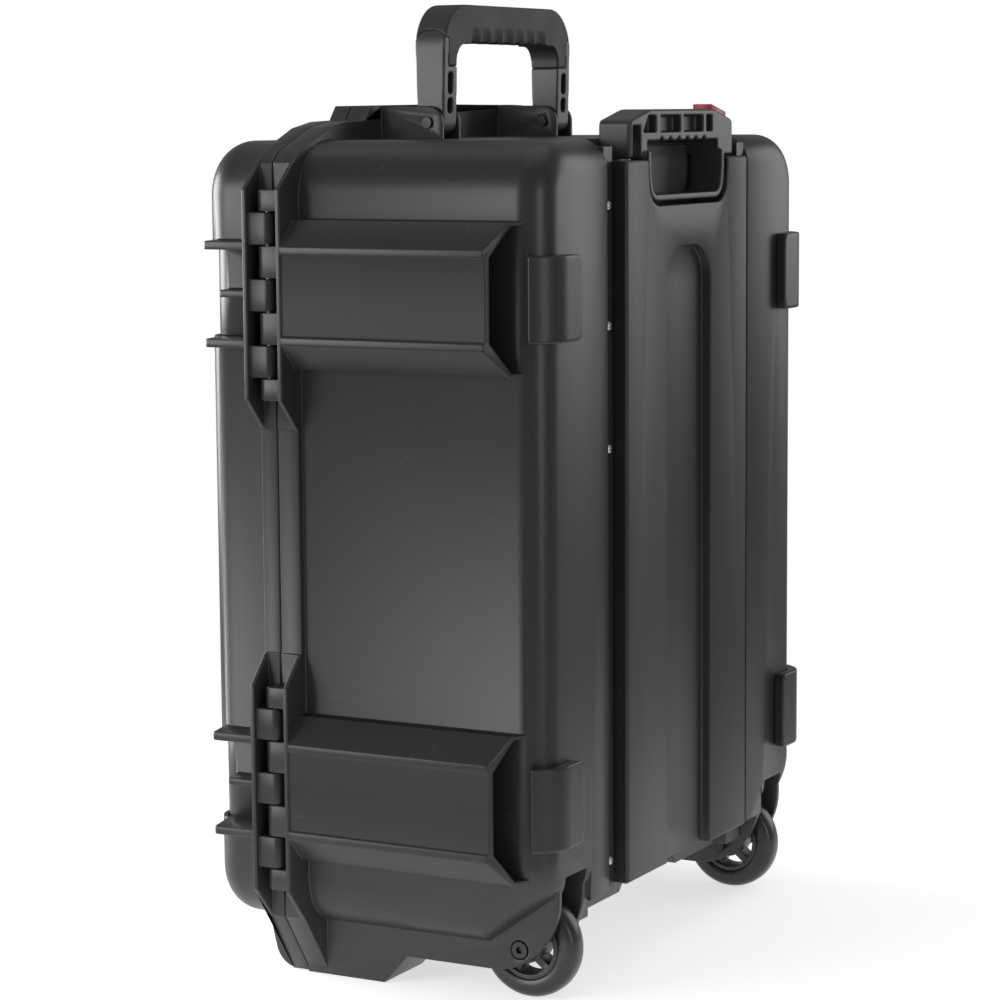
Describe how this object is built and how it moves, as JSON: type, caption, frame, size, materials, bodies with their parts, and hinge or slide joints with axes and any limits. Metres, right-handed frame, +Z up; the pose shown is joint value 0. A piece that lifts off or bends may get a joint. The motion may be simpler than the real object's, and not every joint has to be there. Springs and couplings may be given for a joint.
{
  "type": "drone carrying case",
  "caption": "Rolling hard case with foam pockets for a drone: hinged lid, latches, folding carry handles, telescopic pull handle and wheels.",
  "frame": {"origin": "on the ground under the middle of the case standing upright on its wheels and front feet", "axes": "+Z up along the case's long side, +X towards the hinges, -X towards the latches, -Y towards the lid, +Y towards the pull handle"},
  "size_m": [0.57, 0.33, 0.8135],
  "materials": {
    "black_steel": "blackened steel screws",
    "button": "moulded plastic, red",
    "cover": "leather-grained moulded polypropylene, black",
    "foam": "charcoal polyurethane foam",
    "handle_plastic": "glass-filled nylon, black",
    "pocket": "plain moulded plastic, dark grey",
    "rubber": "soft overmould, black",
    "shell": "fine-textured moulded polypropylene, black",
    "steel": "plated steel",
    "tube": "drawn aluminium tube, anodised",
    "wheel_tyre": "smooth polyurethane, black"
  },
  "bodies": {
    "base": {"axle_hinge_side": "black_steel", "axle_latch_side": "black_steel", "back_pad_hinge_side_lower": "shell", "back_pad_hinge_side_upper": "shell", "back_pad_latch_side_lower": "shell", "back_pad_latch_side_upper": "shell", "base_shell": "shell", "foam_floor": "foam", "foam_insert_drone": "foam", "foam_insert_gear": "foam", "guide_bush_hinge_side": "handle_plastic", "guide_bush_latch_side": "handle_plastic", "guide_tube_hinge_side": "tube", "guide_tube_latch_side": "tube", "hand_pocket": "pocket", "hinge_pin_lower": "steel", "hinge_pin_upper": "steel", "padlock_sleeves_base": "steel", "pressure_valve": "handle_plastic", "side_handle_pins": "black_steel", "top_handle_pins": "black_steel", "trolley_cover": "cover", "trolley_housing": "cover", "trolley_screws": "steel"},
    "lid": {"lid_shell": "shell", "lid_gasket": "rubber", "padlock_sleeves_lid": "steel", "lid_foam": "foam", "latch_pin_upper": "steel", "latch_pin_lower": "steel"},
    "pull_handle": {"pull_head": "handle_plastic", "pull_tube_hinge_side": "tube", "pull_tube_latch_side": "tube", "pull_plug_hinge_side": "handle_plastic", "pull_plug_latch_side": "handle_plastic"},
    "release": {"release_button": "button", "release_bar": "steel"},
    "top_handle": {"top_handle_frame": "handle_plastic", "top_handle_grip": "rubber"},
    "side_handle": {"side_handle_frame": "handle_plastic", "side_handle_grip": "rubber"},
    "wheel_hinge_side": {"tyre_hinge_side": "wheel_tyre", "hub_hinge_side": "handle_plastic", "bearings_hinge_side": "steel", "wheel_spacer_hinge_side": "steel"},
    "wheel_latch_side": {"tyre_latch_side": "wheel_tyre", "hub_latch_side": "handle_plastic", "bearings_latch_side": "steel", "wheel_spacer_latch_side": "steel"},
    "latch_upper": {"latch_lever_upper": "handle_plastic"},
    "trigger_upper": {"latch_trigger_upper": "handle_plastic"},
    "latch_lower": {"latch_lever_lower": "handle_plastic"},
    "trigger_lower": {"latch_trigger_lower": "handle_plastic"}
  },
  "joints": [
    {"name": "lid_hinge", "type": "hinge", "parent": "base", "child": "lid", "pos_m": [0.2733, -0.086, 0.373], "axis": [0, 0, 1], "range_deg": [0, 95]},
    {"name": "top_handle_fold", "type": "hinge", "parent": "base", "child": "top_handle", "pos_m": [0, -0.023, 0.7145], "axis": [-1, 0, 0], "range_deg": [0, 86]},
    {"name": "side_handle_lift", "type": "hinge", "parent": "base", "child": "side_handle", "pos_m": [-0.2703, -0.048, 0.373], "axis": [0, 0, 1], "range_deg": [0, 90]},
    {"name": "pull_handle_slide", "type": "slide", "parent": "base", "child": "pull_handle", "axis": [0, 0, 1], "range_m": [0, 0.38]},
    {"name": "release_press", "type": "slide", "parent": "pull_handle", "child": "release", "axis": [0, 0, -1], "range_m": [0, 0.004], "stiffness_N_per_m": 900, "springref_m": -0.004},
    {"name": "wheel_spin_hinge_side", "type": "hinge", "parent": "base", "child": "wheel_hinge_side", "pos_m": [0.2025, 0.1155, 0.044], "axis": [1, 0, 0], "continuous": true},
    {"name": "wheel_spin_latch_side", "type": "hinge", "parent": "base", "child": "wheel_latch_side", "pos_m": [-0.2025, 0.1155, 0.044], "axis": [1, 0, 0], "continuous": true},
    {"name": "latch_upper_swing", "type": "hinge", "parent": "lid", "child": "latch_upper", "pos_m": [-0.269, -0.108, 0.577], "axis": [0, 0, 1], "range_deg": [0, 90]},
    {"name": "trigger_upper_press", "type": "slide", "parent": "latch_upper", "child": "trigger_upper", "axis": [1, 0, 0], "range_m": [0, 0.0025], "stiffness_N_per_m": 400, "springref_m": -0.003},
    {"name": "latch_lower_swing", "type": "hinge", "parent": "lid", "child": "latch_lower", "pos_m": [-0.269, -0.108, 0.169], "axis": [0, 0, 1], "range_deg": [0, 90]},
    {"name": "trigger_lower_press", "type": "slide", "parent": "latch_lower", "child": "trigger_lower", "axis": [1, 0, 0], "range_m": [0, 0.0025], "stiffness_N_per_m": 400, "springref_m": -0.003}
  ]
}
